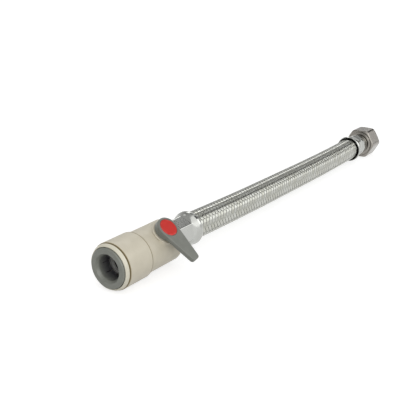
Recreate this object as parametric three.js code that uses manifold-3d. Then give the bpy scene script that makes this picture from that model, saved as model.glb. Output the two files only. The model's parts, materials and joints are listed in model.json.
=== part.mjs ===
// Flexible tap connector with a push-fit service valve.
//
// Millimetres, +Z up. The hose runs along +X: the push-fit socket is at the low end, then the lever
// valve, the braided hose and the swivel nut. While it is modelled, x = 0 is the collet's mouth and
// the valve's own axis is y = 0, z = 0. At the end the whole part moves so that its origin is the
// middle of its footprint, on the surface that it lies on.

import * as THREE from 'three';
import { mergeVertices } from 'three/addons/utils/BufferGeometryUtils.js';
import Module from 'manifold-3d';

const wasm = await Module();
wasm.setup();

// Driving dimensions: fits
const fitGap = 0.3; // between two pieces that touch
const sealGap = 0.15; // between a seal and the bore that it presses on
const pipeRadius = 7.5; // the 15 mm pipe that the socket takes
const pipeGap = 0.1; // between that pipe and the collet
const socketRoom = 0.25; // between that pipe and the valve body

// Driving dimensions: push-fit socket
const flangeRadius = 12.1; // the collet's outer flange
const flangeLength = 2.6;
const flangeProud = 1.1; // how far the flange stands out of the cap ring
const flangeEdge = 0.3; // the chamfer on the flange's rim
const leadIn = 0.7; // the chamfer that guides the pipe in
const colletTravel = 2; // how far the collet pushes in to let the pipe go
const colletSpace = 0.4; // what is left in front of the collet then
const sleeveWall = 2.1; // the collet's wall
const fingerLength = 5.4;
const fingerHead = 0.9; // how far a finger's head stands out from the sleeve
const headLength = 0.65;
const sleeveLength = 4.9; // from the flange to where the fingers' cone begins
const coneLength = 2.4;
const fingerCount = 8;
const fingerSlot = 1.4;
const toothWidth = 3;
const toothThickness = 0.5;
const toothDepth = 1.7; // how deep a tooth sits in its finger
const toothProud = 0.25; // how far a tooth stands into the bore
const toothInset = 1.08; // from the fingers' ends to the middle of a tooth
const noseLength = 2.45; // the visible nose of the cap ring
const noseLip = 0.35;
const noseLand = 0.6; // the straight part behind the nose's slope
const noseRadius = 13.8;
const capNeckLength = 7;
const grooveWidth = 0.35; // the fine dark groove behind the nose
const housingRadius = 14.2;
const housingWall = 1.5;
const housingLength = 19.3;
const housingEdge = 0.35;
const spigotWall = 1.4; // of the body's spigot inside the housing
const pipeSealSection = 2.9; // the thickness of the pipe O-ring
const spacerThickness = 1.2;

// Driving dimensions: valve
const bodyRadius = 13.15;
const bodyEdge = 2; // the rounding of the body's end
const pipeDepth = 27.8; // how far a pipe goes in
const portWall = 3.2; // between the pipe stop and the ball chamber
const portRadius = 5; // the bore of the ball and of the seats
const ballRadius = 8.5;
const ballRoom = 0.7; // between the ball and its chamber
const seatReach = 8.3; // from the ball's centre to the back of a seat
const seatFace = 2; // how wide the seat's hollow face is
const stemRoll = 40.2; // degrees that the stem leans from upright towards -Y
const bossRadius = 7.5;
const bossHeight = 14.4;
const stemRadius = 3.7;
const stemFlangeRadius = 4.4;
const stemFlangeThickness = 1.1;
const stemWasherThickness = 0.6;
const stemSealSection = 1.3;
const stemRise = 0.1; // how far the stem's round part stands out of the boss
const stemSquare = 5;
const stemSquareHeight = 2;
const tangLength = 6.4;
const tangThickness = 2.6;
const tangDepth = 2;

// Driving dimensions: lever
const leverRest = 95; // degrees from along the valve, where the lever is shut
const leverLength = 24.4;
const leverHeadRadius = 7.05;
const leverThickness = 2.8;
const leverTipHalf = 3.2;
const leverTipRound = 2;
const leverBevel = 0.4;
const leverWeb = 0.8; // under the screw's head
const discRadius = 5.55;
const discThickness = 0.7;
const discEdge = 0.15;
const screwHeadRadius = 2.5;
const screwHeadThickness = 0.6;
const screwHeadDome = 0.2;
const screwRadius = 0.9;
const screwLength = 5.5;

// Driving dimensions: hose and its ends
const plugLength = 4.9; // the tail's plug inside the valve body
const plugWall = 1.6; // at the plug's mouth
const plugSealPlace = 1.6; // from the plug's front to its O-ring's groove
const plugSealSection = 1.5;
const tailBore = 4.2;
const tailNeckRadius = 6.6;
const tailBeyond = 4; // how far a tail reaches past the crimp
const tailTip = 0.4; // how much a tail narrows at its tip
const barbHeight = 0.2;
const barbCount = 3;
const barbRise = 0.8; // the share of a barb's length on which it rises
const braidRadius = 9;
const braidWall = 0.5;
const linerWall = 1.7;
const linerCrimpWall = 1.1;
const linerGap = 0.2; // between the rubber and the braid
const neckRun = 1.5; // from the crimp's end back to where the hose begins to swell
const neckJoin = 2; // how far a neck is let into the tube's wall, along the hose
const hoseSides = 12;
const hoseSteps = 12;

// Driving dimensions: ferrules
const ferruleWall = 0.5;
const ferruleEndWall = 0.8;
const ferruleEndRound = 1.6;
const crimpFlat = 8.3; // from the axis to a flat of the hexagonal crimp
const crimpCorner = 9.55;
const crimpTurn = 18; // degrees that the crimp's flats are turned from upright
const crimpFade = 1; // how far before the crimp's end its flats begin to swell
const bellLength = 6.4; // from the end of the crimp to the mouth
const bellStart = 0.6; // the share of the bell at which the hose has its full width
const valveCrimpLength = 16.9;
const nutCrimpLength = 16.9;
const sightHoleRadius = 0.8;
const sightHoleTurn = -102; // degrees from upright, on the side away from the lever
const sightHolePlace = 5.4; // from the crimp's end back towards the closed end

// The bell's outline: the share of its length, and how far it stands out of the crimp's corners.
const bell = [
  [0.31, 0.35],
  [0.61, 1.05],
  [0.85, 1.35],
];
const mouthProud = 1.2;

const hoseLength = 286.2; // between the two ferrules' closed ends
const hoseStraight = 27; // at each end, where the hose lies in its ferrule
const hoseDrop = -2.2; // how far the nut's end lies lower than the valve's

// How the free hose sinks between its straight ends: the share of the way, the share of the drop.
// Past its middle it sags a little lower than the nut's end.
const sinking = [
  [0.06, 0.22],
  [0.12, 0.42],
  [0.2, 0.64],
  [0.3, 0.86],
  [0.41, 1],
  [0.51, 1.12],
  [0.64, 1.28],
  [0.77, 1.33],
  [0.88, 1.27],
  [0.95, 1.13],
];

// Driving dimensions: swivel nut
const nutAcrossFlats = 24;
const nutLength = 15.9;
const nutBack = 2.6; // the wall that turns on the tail
const nutPlay = 1.2; // between the ferrule and the nut
const nutChamferRadius = 11.7;
const nutChamferLength = 1.2;
const threadRadius = 9.5; // the half inch thread's inner radius
const threadLead = 1.1; // the chamfer that guides the thread in
const swivelNeckRadius = 6.8;
const tailFlangeThickness = 2;
const tailSpigotRadius = 6.1;
const tailSpigotLength = 3.4;
const spigotFlare = 0.6; // how much the spigot's bore opens
const nutWasherThickness = 2;

// How round the pieces are
const roundSides = 32;
const smallSides = 24;
const tinySides = 12;
const sealSides = 6;
const ballRings = 14;
const leverCurve = 10; // steps of each arc of the lever's outline

const over = 1; // how far a cutter runs past what it cuts
const radians = Math.PI / 180;

// Makes a closed geometry a solid: shared corners joined, empty faces dropped, faces outwards.
function asSolid(geometry) {
  geometry.deleteAttribute('normal');
  geometry.deleteAttribute('uv');
  const merged = mergeVertices(geometry, 1e-4);
  const corners = merged.attributes.position.array;
  const faces = [];
  let volume = 0;
  const [a, b, c] = [new THREE.Vector3(), new THREE.Vector3(), new THREE.Vector3()];
  for (let i = 0; i < merged.index.count; i += 3) {
    const [p, q, r] = merged.index.array.slice(i, i + 3);
    if (p !== q && q !== r && r !== p) {
      faces.push([p, q, r]);
      a.fromArray(corners, 3 * p);
      b.fromArray(corners, 3 * q);
      c.fromArray(corners, 3 * r);
      volume += a.dot(b.cross(c));
    }
  }
  const outwards = volume > 0 ? faces : faces.map(([p, q, r]) => [p, r, q]);
  const mesh = new wasm.Mesh({
    numProp: 3,
    vertProperties: new Float32Array(corners),
    triVerts: new Uint32Array(outwards.flat()),
  });
  return new wasm.Manifold(mesh);
}

function asGeometry(solid) {
  const mesh = solid.getMesh();
  const geometry = new THREE.BufferGeometry();
  geometry.setAttribute('position', new THREE.BufferAttribute(mesh.vertProperties, 3));
  geometry.setIndex(new THREE.BufferAttribute(mesh.triVerts, 1));
  geometry.computeVertexNormals();
  return geometry;
}

// A lathe's loop of [along, radius] corners. The flats of the faceted round touch each radius.
function latheOf(profile, sides) {
  const grow = 1 / Math.cos(Math.PI / sides);
  const points = profile.map(([along, radius]) => new THREE.Vector2(radius * grow, along));
  points.push(points[0].clone());
  return new THREE.LatheGeometry(points, sides, Math.PI / sides);
}

// Turned about the X axis, with a flat of the round at the very bottom.
function turned(profile, sides = roundSides) {
  return asSolid(latheOf(profile, sides).rotateZ(-Math.PI / 2));
}

// Turned about the Z axis, for the pieces on the stem.
function upright(profile, sides = smallSides) {
  return asSolid(latheOf(profile, sides).rotateX(Math.PI / 2));
}

// The loops of a plain rod and of a plain ring
const rod = (from, to, radius) => [[from, 0], [from, radius], [to, radius], [to, 0]];
const ring = (from, to, inner, outer) => [[from, inner], [from, outer], [to, outer], [to, inner]];

function block([x0, x1], [y0, y1], [z0, z1]) {
  const box = new THREE.BoxGeometry(x1 - x0, y1 - y0, z1 - z0);
  return asSolid(box.translate((x0 + x1) / 2, (y0 + y1) / 2, (z0 + z1) / 2));
}

// A ring of round section as a loop of corners, for the O-rings.
function sealLoop(along, middle, section) {
  const loop = [];
  for (let i = 0; i < sealSides; i += 1) {
    const turn = (2 * Math.PI * (i + 0.5)) / sealSides;
    loop.push([along + (section / 2) * Math.cos(turn), middle + (section / 2) * Math.sin(turn)]);
  }
  return loop;
}

// Stations along X, from the collet's mouth
const colletBore = pipeRadius + pipeGap;
const sleeveRadius = colletBore + sleeveWall;
const headRadius = sleeveRadius + fingerHead;
const coneStart = flangeLength + sleeveLength;
const colletLength = coneStart + coneLength + headLength;
const recessFloor = flangeLength + colletTravel + colletSpace;
const noseEnd = flangeProud + noseLength;
const housingStart = noseEnd + grooveWidth;
const housingEnd = housingStart + housingLength;
const housingBore = housingRadius - housingWall;
const spigotRadius = housingBore - fitGap;
const capNeckEnd = noseEnd + capNeckLength;
const spigotStart = capNeckEnd + fitGap;
const spigotBore = spigotRadius - spigotWall;
const spacerStart = colletLength + colletTravel + colletSpace;
const spacerEnd = spacerStart + spacerThickness;
const pipeSealStart = spacerEnd + fitGap;
const pipeSealEnd = pipeSealStart + pipeSealSection + fitGap;
const pipeBore = pipeRadius + socketRoom;
const chamberStart = pipeDepth + portWall;
const chamberRadius = ballRadius + ballRoom;
const stemX = chamberStart + fitGap + seatReach;
const plugStart = stemX + seatReach + fitGap;
const bodyEnd = plugStart + plugLength + fitGap;
const valveFerruleX = bodyEnd + fitGap;

// The middle of finger number i, in degrees about X.
const fingerTurn = (i) => (360 / fingerCount) * (i + 0.5);

// Where a tooth lies along X, with some room on each side.
function toothSpan(room) {
  const middle = colletLength - toothInset;
  return [middle - toothThickness / 2 - room, middle + toothThickness / 2 + room];
}

// Release collet: a flanged sleeve whose slotted end is eight springy fingers with swollen heads.
function makeCollet() {
  let collet = turned([
    [0, colletBore + leadIn],
    [0, flangeRadius - flangeEdge],
    [flangeEdge, flangeRadius],
    [flangeLength, flangeRadius],
    [flangeLength, sleeveRadius],
    [coneStart, sleeveRadius],
    [colletLength - headLength, headRadius],
    [colletLength, headRadius],
    [colletLength, colletBore],
    [leadIn, colletBore],
  ]);
  const slot = block(
    [colletLength - fingerLength, colletLength + over],
    [-fingerSlot / 2, fingerSlot / 2],
    [0, headRadius + over],
  );
  const pocket = block(
    toothSpan(fitGap),
    [-toothWidth / 2 - fitGap, toothWidth / 2 + fitGap],
    [colletBore - over, colletBore + toothDepth + fitGap],
  );
  for (let i = 0; i < fingerCount; i += 1) {
    collet = collet.subtract(slot.rotate([(360 / fingerCount) * i, 0, 0]));
    collet = collet.subtract(pocket.rotate([fingerTurn(i), 0, 0]));
  }
  return collet;
}

function makeTooth(i) {
  const tooth = block(
    toothSpan(0),
    [-toothWidth / 2, toothWidth / 2],
    [colletBore - toothProud, colletBore + toothDepth],
  );
  return tooth.rotate([fingerTurn(i), 0, 0]);
}

// Cap ring: the nose at the mouth, the recess for the flange and the cone that the fingers wedge in.
function makeCapRing() {
  const recess = flangeRadius + fitGap;
  const throat = sleeveRadius + fitGap;
  return turned([
    [flangeProud, recess],
    [flangeProud, recess + noseLip],
    [noseEnd - noseLand, noseRadius],
    [noseEnd, noseRadius],
    [noseEnd, spigotRadius],
    [capNeckEnd, spigotRadius],
    [capNeckEnd, throat + fingerHead + fitGap],
    [coneStart, throat],
    [recessFloor, throat],
    [recessFloor, recess],
  ]);
}

// Socket housing: the large sleeve that joins the cap ring to the valve body.
function makeHousing() {
  return turned([
    [housingStart, housingBore],
    [housingStart, housingRadius - housingEdge],
    [housingStart + housingEdge, housingRadius],
    [housingEnd - housingEdge, housingRadius],
    [housingEnd, housingRadius - housingEdge],
    [housingEnd, housingBore],
  ]);
}

const makeSpacer = () => {
  return turned(ring(spacerStart, spacerEnd, pipeRadius + fitGap, spigotBore - fitGap));
};

function makePipeSeal() {
  const middle = spigotBore - fitGap - pipeSealSection / 2;
  return turned(sealLoop(pipeSealStart + pipeSealSection / 2, middle, pipeSealSection), smallSides);
}

// The stem's own frame: Z along the stem, X along the valve towards the socket.
const stemFrame = new THREE.Matrix4().makeBasis(
  new THREE.Vector3(-1, 0, 0),
  new THREE.Vector3(0, -Math.cos(stemRoll * radians), -Math.sin(stemRoll * radians)),
  new THREE.Vector3(0, -Math.sin(stemRoll * radians), Math.cos(stemRoll * radians)),
);
stemFrame.setPosition(stemX, 0, 0);

// A solid of the stem's frame, put where it is on the valve.
function onStem(solid) {
  return asSolid(asGeometry(solid).applyMatrix4(stemFrame));
}

// Heights up the stem, from the valve's axis
const stemFlangeBottom = ballRadius + fitGap;
const stemFlangeTop = stemFlangeBottom + stemFlangeThickness;
const stemWasherTop = stemFlangeTop + fitGap + stemWasherThickness;
const stemWellTop = stemWasherTop + fitGap;
const stemShoulder = bossHeight + stemRise;
const stemTop = stemShoulder + stemSquareHeight;
const leverBottom = bossHeight + fitGap;
const socketTop = stemTop + fitGap;
const webTop = socketTop + leverWeb;
const screwSeat = webTop + fitGap;
const screwTop = screwSeat + screwHeadThickness;
const discBottom = screwTop + fitGap;
const leverTop = discBottom + discThickness;
const stemSealMiddle = (stemWellTop + bossHeight) / 2;
const stemBore = stemRadius + fitGap;
const stemWell = stemFlangeRadius + fitGap;
const screwHole = screwRadius + fitGap;

// The body's rounded end as corners, from its outside to its face.
function roundedEnd(x, radius, edge) {
  const corners = [];
  for (let turn = 0; turn <= 90; turn += 45) {
    const across = edge * (1 - Math.cos(turn * radians));
    corners.push([x - edge + edge * Math.sin(turn * radians), radius - across]);
  }
  return corners;
}

// Valve body: one moulding with the spigot, the pipe stop, the ball chamber and the stem's boss.
function makeBody() {
  const shoulder = housingEnd + fitGap;
  const body = turned([
    [spigotStart, spigotBore],
    [spigotStart, spigotRadius],
    [shoulder, spigotRadius],
    [shoulder, bodyRadius],
    ...roundedEnd(bodyEnd, bodyRadius, bodyEdge),
    [bodyEnd, chamberRadius],
    [chamberStart, chamberRadius],
    [chamberStart, portRadius],
    [pipeDepth, portRadius],
    [pipeDepth, pipeBore],
    [pipeSealEnd, pipeBore],
    [pipeSealEnd, spigotBore],
  ]);
  const boss = upright(rod(stemWellTop, bossHeight, bossRadius));
  const well = upright([
    [portRadius, 0],
    [portRadius, stemWell],
    [stemWellTop, stemWell],
    [stemWellTop, stemBore],
    [bossHeight + over, stemBore],
    [bossHeight + over, 0],
  ]);
  return body.add(onStem(boss)).subtract(onStem(well));
}

// A seat: a plastic ring whose hollow face keeps the same distance from the ball all round.
// side is -1 for the inlet seat and 1 for the outlet seat.
function makeSeat(side) {
  const outer = chamberRadius - fitGap;
  const face = [1, 0.5, 0].map((share) => {
    const radius = portRadius + share * seatFace;
    return [Math.sqrt((ballRadius + fitGap) ** 2 - radius ** 2), radius];
  });
  const loop = [[seatReach, portRadius], [seatReach, outer], [face[0][0], outer], ...face];
  return turned(loop.map(([reach, radius]) => [stemX + side * reach, radius]), smallSides);
}

// Ball: bored through along the lever, with a slot for the stem's tang across the bore.
function makeBall() {
  const sphere = new THREE.SphereGeometry(ballRadius, smallSides, ballRings);
  const bore = turned(rod(-ballRadius - over, ballRadius + over, portRadius), smallSides);
  const slot = block(
    [-tangThickness / 2 - fitGap, tangThickness / 2 + fitGap],
    [-ballRadius, ballRadius],
    [ballRadius - tangDepth - fitGap, ballRadius + over],
  );
  return asSolid(sphere.rotateX(Math.PI / 2)).subtract(bore).subtract(slot);
}

function makeStem() {
  const groove = (stemSealSection + fitGap) / 2;
  const grooveFloor = stemBore - 2 * sealGap - stemSealSection;
  const shaft = upright([
    [stemFlangeBottom, 0],
    [stemFlangeBottom, stemFlangeRadius],
    [stemFlangeTop, stemFlangeRadius],
    [stemFlangeTop, stemRadius],
    [stemSealMiddle - groove, stemRadius],
    [stemSealMiddle - groove, grooveFloor],
    [stemSealMiddle + groove, grooveFloor],
    [stemSealMiddle + groove, stemRadius],
    [stemShoulder, stemRadius],
    [stemShoulder, 0],
  ]);
  const half = stemSquare / 2;
  const square = block([-half, half], [-half, half], [stemShoulder - stemRise, stemTop]);
  const tang = block(
    [-tangThickness / 2, tangThickness / 2],
    [-tangLength / 2, tangLength / 2],
    [ballRadius - tangDepth, stemFlangeTop],
  );
  const hole = upright(rod(screwSeat - screwLength - fitGap, stemTop + over, screwHole), tinySides);
  return shaft.add(square).add(tang).subtract(hole);
}

function makeStemSeal() {
  const middle = stemBore - sealGap - stemSealSection / 2;
  return upright(sealLoop(stemSealMiddle, middle, stemSealSection));
}

const makeStemWasher = () => {
  return upright(ring(stemFlangeTop + fitGap, stemWasherTop, stemBore, stemFlangeRadius));
};

// The lever seen from above: a round head and an arm that narrows to a tip with two round corners.
function leverOutline() {
  const tipX = leverLength - leverTipRound;
  const tipY = leverTipHalf - leverTipRound;
  const reach = Math.hypot(tipX, tipY);
  const tangent = Math.atan2(tipY, tipX) + Math.acos((leverHeadRadius - leverTipRound) / reach);
  const outline = new THREE.Shape();
  outline.absarc(0, 0, leverHeadRadius, tangent, 2 * Math.PI - tangent, false);
  outline.absarc(tipX, -tipY, leverTipRound, -tangent, 0, false);
  outline.absarc(tipX, tipY, leverTipRound, 0, tangent, false);
  return outline;
}

// Lever: the plate with the arm, and a skirt under its head that hides the boss.
function makeLever() {
  const plate = new THREE.ExtrudeGeometry(leverOutline(), {
    depth: leverThickness - 2 * leverBevel,
    bevelThickness: leverBevel,
    bevelSize: leverBevel,
    bevelOffset: -leverBevel,
    bevelSegments: 1,
    curveSegments: leverCurve,
  }).translate(0, 0, leverTop - leverThickness + leverBevel);
  const skirtTop = leverTop - leverThickness / 2;
  const skirt = upright(rod(leverBottom, skirtTop, leverHeadRadius * Math.cos(Math.PI / smallSides)));
  const half = stemSquare / 2 + fitGap;
  const socket = block([-half, half], [-half, half], [leverBottom - over, socketTop]);
  const holes = upright([
    [socketTop - over, 0],
    [socketTop - over, screwHole],
    [webTop, screwHole],
    [webTop, screwHeadRadius + fitGap],
    [discBottom - fitGap, screwHeadRadius + fitGap],
    [discBottom - fitGap, discRadius + fitGap],
    [leverTop + over, discRadius + fitGap],
    [leverTop + over, 0],
  ]);
  return asSolid(plate).add(skirt).subtract(socket).subtract(holes);
}

function makeScrew() {
  return upright([
    [screwSeat - screwLength, 0],
    [screwSeat - screwLength, screwRadius],
    [screwSeat, screwRadius],
    [screwSeat, screwHeadRadius],
    [screwTop, screwHeadRadius - screwHeadDome],
    [screwTop, 0],
  ], tinySides);
}

function makeDisc() {
  return upright([
    [discBottom, 0],
    [discBottom, discRadius],
    [leverTop - discEdge, discRadius],
    [leverTop, discRadius - discEdge],
    [leverTop, 0],
  ]);
}

// Radii through the crimp, from the ferrule inwards. A hose of few sides has its corners further out
// than its flats, by this factor.
const hoseFacet = Math.cos(Math.PI / hoseSides);
const crimpBraid = (crimpFlat - ferruleWall) * hoseFacet - fitGap;
const crimpLiner = crimpBraid - braidWall - linerGap;
const barbRadius = crimpLiner - linerCrimpWall - fitGap;
const stemBarbFloor = barbRadius - barbHeight;
const linerRadius = braidRadius - braidWall - linerGap;
const hoseInset = ferruleEndWall + fitGap; // from a ferrule's closed end to the hose's own end
const nutFerruleX = valveFerruleX + hoseLength;
const hoseWay = hoseLength - 2 * hoseStraight;

// The free hose's route: how far along X from the valve-end ferrule's closed end, and how high.
const route = [
  [hoseStraight, 0],
  ...sinking.map(([share, drop]) => [hoseStraight + share * hoseWay, drop * hoseDrop]),
  [hoseLength - hoseStraight, hoseDrop],
];

// A ferrule's form without its hollow, closed end at 0. inset makes the smaller form of the hollow.
// It is round, and the crimp's six flats fade out where the bell swells.
function ferruleForm(crimpLength, inset, start, beyond) {
  const end = crimpLength + bellLength + beyond;
  const swollen = crimpCorner + Math.max(...bell.map(([, proud]) => proud));
  const round = turned([
    [start, 0],
    [start, crimpCorner - ferruleEndRound - inset],
    [start + ferruleEndRound, crimpCorner - inset],
    [crimpLength, crimpCorner - inset],
    ...bell.map(([share, proud]) => [crimpLength + share * bellLength, crimpCorner + proud - inset]),
    [end, crimpCorner + mouthProud - inset],
    [end, 0],
  ], smallSides);
  const flats = turned([
    [start - over, 0],
    [start - over, crimpFlat - inset],
    [crimpLength - crimpFade, crimpFlat - inset],
    [crimpLength + bell[1][0] * bellLength, swollen - inset],
    [end + over, swollen - inset],
    [end + over, 0],
  ], 6);
  return round.intersect(flats.rotate([crimpTurn, 0, 0]));
}

// side is 1 where the mouth faces +X and -1 where it faces back towards the valve.
function makeFerrule(crimpLength, side, x, z) {
  const tailHole = turned(rod(-over, ferruleEndWall + over, tailNeckRadius + fitGap), smallSides);
  const sightHole = upright(rod(0, 2 * crimpCorner, sightHoleRadius), tinySides)
    .rotate([sightHoleTurn, 0, 0])
    .translate([crimpLength - sightHolePlace, 0, 0]);
  const ferrule = ferruleForm(crimpLength, 0, 0, 0)
    .subtract(ferruleForm(crimpLength, ferruleWall, ferruleEndWall, over))
    .subtract(tailHole)
    .subtract(sightHole);
  const facing = side > 0 ? ferrule : ferrule.mirror([1, 0, 0]);
  return facing.translate([x, 0, z]);
}

// The corners of a hose section whose flats touch the radius.
function hoseCorners(radius) {
  const corners = [];
  for (let i = 0; i < hoseSides; i += 1) {
    const turn = (2 * Math.PI * (i + 0.5)) / hoseSides;
    corners.push(new THREE.Vector2(Math.cos(turn), Math.sin(turn)).multiplyScalar(radius / hoseFacet));
  }
  return corners;
}

// The necked end of a hose tube, inside a ferrule whose closed end is at 0. It swells to the tube's
// full width, and its last stretch is let into the middle of the tube's wall.
function hoseNeck(crimpLength, outer, wall, crimpOuter, crimpWall) {
  const full = crimpLength + bellStart * bellLength;
  const inside = wall / 5;
  return turned([
    [hoseInset, crimpOuter - crimpWall],
    [hoseInset, crimpOuter],
    [crimpLength - neckRun, crimpOuter],
    [full, outer - inside],
    [full + neckJoin, outer - inside],
    [full + neckJoin, outer - wall + inside],
    [full, outer - wall + inside],
    [crimpLength - neckRun, crimpOuter - crimpWall],
  ], hoseSides);
}

// A tube of the hose: its free length follows the route with a constant section, and its ends are
// necked down inside the ferrules' crimps.
function makeHoseTube(outer, wall, crimpOuter, crimpWall) {
  const from = valveCrimpLength + bellStart * bellLength;
  const to = hoseLength - nutCrimpLength - bellStart * bellLength;
  const points = [[from, 0], ...route, [to, hoseDrop]];
  const path = new THREE.CatmullRomCurve3(
    points.map(([x, z]) => new THREE.Vector3(valveFerruleX + x, 0, z)),
  );
  const section = new THREE.Shape(hoseCorners(outer));
  section.holes.push(new THREE.Path(hoseCorners(outer - wall)));
  const free = asSolid(new THREE.ExtrudeGeometry(section, { steps: hoseSteps, extrudePath: path }));
  const valveNeck = hoseNeck(valveCrimpLength, outer, wall, crimpOuter, crimpWall)
    .translate([valveFerruleX, 0, 0]);
  const nutNeck = hoseNeck(nutCrimpLength, outer, wall, crimpOuter, crimpWall)
    .mirror([1, 0, 0])
    .translate([nutFerruleX, 0, hoseDrop]);
  return free.add(valveNeck).add(nutNeck);
}

// The barbed outside of a tail as corners, from the hose's own end to the tail's tip.
function barbs(crimpLength) {
  const start = hoseInset + fitGap;
  const length = crimpLength + tailBeyond;
  const pitch = (length - start - over) / barbCount;
  const corners = [];
  for (let i = 0; i < barbCount; i += 1) {
    corners.push([start + i * pitch, stemBarbFloor]);
    corners.push([start + (i + barbRise) * pitch, barbRadius]);
  }
  corners.push([start + barbCount * pitch, stemBarbFloor]);
  corners.push([length, stemBarbFloor - tailTip]);
  corners.push([length, tailBore]);
  return corners;
}

// Valve tail: the plug that closes the ball chamber, a neck through the ferrule and the barbed end.
function makeValveTail() {
  const plugRadius = chamberRadius - fitGap;
  const plugBack = plugStart - valveFerruleX;
  const groove = plugBack + plugSealPlace;
  const grooveEnd = groove + plugSealSection + fitGap;
  const grooveFloor = chamberRadius - 2 * sealGap - plugSealSection - fitGap;
  return turned([
    [plugBack, portRadius],
    [plugBack, plugRadius],
    [groove, plugRadius],
    [groove, grooveFloor],
    [grooveEnd, grooveFloor],
    [grooveEnd, plugRadius],
    [plugBack + plugLength, plugRadius],
    [plugBack + plugLength, tailNeckRadius],
    [ferruleEndWall, tailNeckRadius],
    [ferruleEndWall, stemBarbFloor],
    ...barbs(valveCrimpLength),
    [plugBack + plugWall, tailBore],
  ], smallSides).translate([valveFerruleX, 0, 0]);
}

function makeTailSeal() {
  const along = plugStart + plugSealPlace + (plugSealSection + fitGap) / 2;
  const middle = chamberRadius - sealGap - plugSealSection / 2;
  return turned(sealLoop(along, middle, plugSealSection), smallSides);
}

// Stations of the swivel nut, from the nut-end ferrule's closed end and growing with X
const nutEnd = nutPlay + nutLength;
const tailFlangeStart = nutPlay + nutBack + fitGap;
const tailFlangeEnd = tailFlangeStart + tailFlangeThickness;
const nutWasherStart = tailFlangeEnd + fitGap;
const inThread = threadRadius - fitGap;

// Nut tail: the barbed end, the neck that the nut turns on, the flange that holds it and the spigot
// that centres the washer.
function makeNutTail() {
  const barbed = barbs(nutCrimpLength).map(([x, radius]) => [-x, radius]).reverse();
  return turned([
    ...barbed,
    [-ferruleEndWall, stemBarbFloor],
    [-ferruleEndWall, tailNeckRadius],
    [fitGap, tailNeckRadius],
    [fitGap, swivelNeckRadius],
    [tailFlangeStart, swivelNeckRadius],
    [tailFlangeStart, inThread],
    [tailFlangeEnd, inThread],
    [tailFlangeEnd, tailSpigotRadius],
    [tailFlangeEnd + tailSpigotLength, tailSpigotRadius],
    [tailFlangeEnd + tailSpigotLength, tailBore + spigotFlare],
    [tailFlangeEnd, tailBore],
  ], smallSides).translate([nutFerruleX, 0, hoseDrop]);
}

// Swivel nut: a hexagon with a flat at the bottom, turned off at both ends and bored for its thread.
function makeNut() {
  const corner = nutAcrossFlats / 2 / Math.cos(Math.PI / 6) + fitGap;
  const hexagon = turned(rod(nutPlay, nutEnd, nutAcrossFlats / 2), 6);
  const chamfers = turned([
    [nutPlay, 0],
    [nutPlay, nutChamferRadius],
    [nutPlay + nutChamferLength, corner],
    [nutEnd - nutChamferLength, corner],
    [nutEnd, nutChamferRadius],
    [nutEnd, 0],
  ]);
  const bore = turned([
    [nutPlay - over, 0],
    [nutPlay - over, swivelNeckRadius + fitGap],
    [nutPlay + nutBack, swivelNeckRadius + fitGap],
    [nutPlay + nutBack, threadRadius],
    [nutEnd - threadLead, threadRadius],
    [nutEnd, threadRadius + threadLead],
    [nutEnd + over, threadRadius + threadLead],
    [nutEnd + over, 0],
  ]);
  return hexagon.intersect(chamfers).subtract(bore).translate([nutFerruleX, 0, hoseDrop]);
}

function makeNutWasher() {
  const washerEnd = nutWasherStart + nutWasherThickness;
  const washer = turned(ring(nutWasherStart, washerEnd, tailSpigotRadius + fitGap, inThread), smallSides);
  return washer.translate([nutFerruleX, 0, hoseDrop]);
}

// Finishes
const finish = (color, roughness, metalness) => {
  return new THREE.MeshStandardMaterial({ color, roughness, metalness });
};
const beigePlastic = finish(0xcdc6b4, 0.45, 0);
const greyPlastic = finish(0x7a7c73, 0.45, 0);
const redPlastic = finish(0xc8322d, 0.35, 0);
const whitePlastic = finish(0xe8e8e4, 0.4, 0);
const blackRubber = finish(0x1c1c1c, 0.8, 0);
const brass = finish(0xb8954f, 0.35, 1);
const chromedBrass = finish(0xd8d8d8, 0.15, 1);
const nickelPlate = finish(0xd6cdc8, 0.28, 1);
const polishedSteel = finish(0xc9cbca, 0.2, 1);
const steelBraid = finish(0xc4c6c4, 0.35, 1);

const part = new THREE.Group();

function place(group, name, solid, material) {
  const mesh = new THREE.Mesh(asGeometry(solid), material);
  mesh.name = name;
  group.add(mesh);
}

// Push-fit socket
place(part, 'release_collet', makeCollet(), greyPlastic);
for (let i = 0; i < fingerCount; i += 1) {
  place(part, `collet_tooth_${i + 1}`, makeTooth(i), polishedSteel);
}
place(part, 'cap_ring', makeCapRing(), beigePlastic);
place(part, 'socket_housing', makeHousing(), beigePlastic);
place(part, 'spacer_washer', makeSpacer(), whitePlastic);
place(part, 'pipe_seal', makePipeSeal(), blackRubber);

// Valve
place(part, 'valve_body', makeBody(), beigePlastic);
place(part, 'inlet_seat', makeSeat(-1), whitePlastic);
place(part, 'outlet_seat', makeSeat(1), whitePlastic);

// What turns with the lever, in the stem's frame with the arm along its X
const handle = new THREE.Group();
handle.applyMatrix4(stemFrame);
handle.rotateZ(leverRest * radians);
part.add(handle);
place(handle, 'ball', makeBall(), chromedBrass);
place(handle, 'stem', makeStem(), brass);
place(handle, 'stem_washer', makeStemWasher(), whitePlastic);
place(handle, 'stem_seal', makeStemSeal(), blackRubber);
place(handle, 'lever', makeLever(), greyPlastic);
place(handle, 'lever_screw', makeScrew(), polishedSteel);
place(handle, 'colour_disc', makeDisc(), redPlastic);

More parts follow.
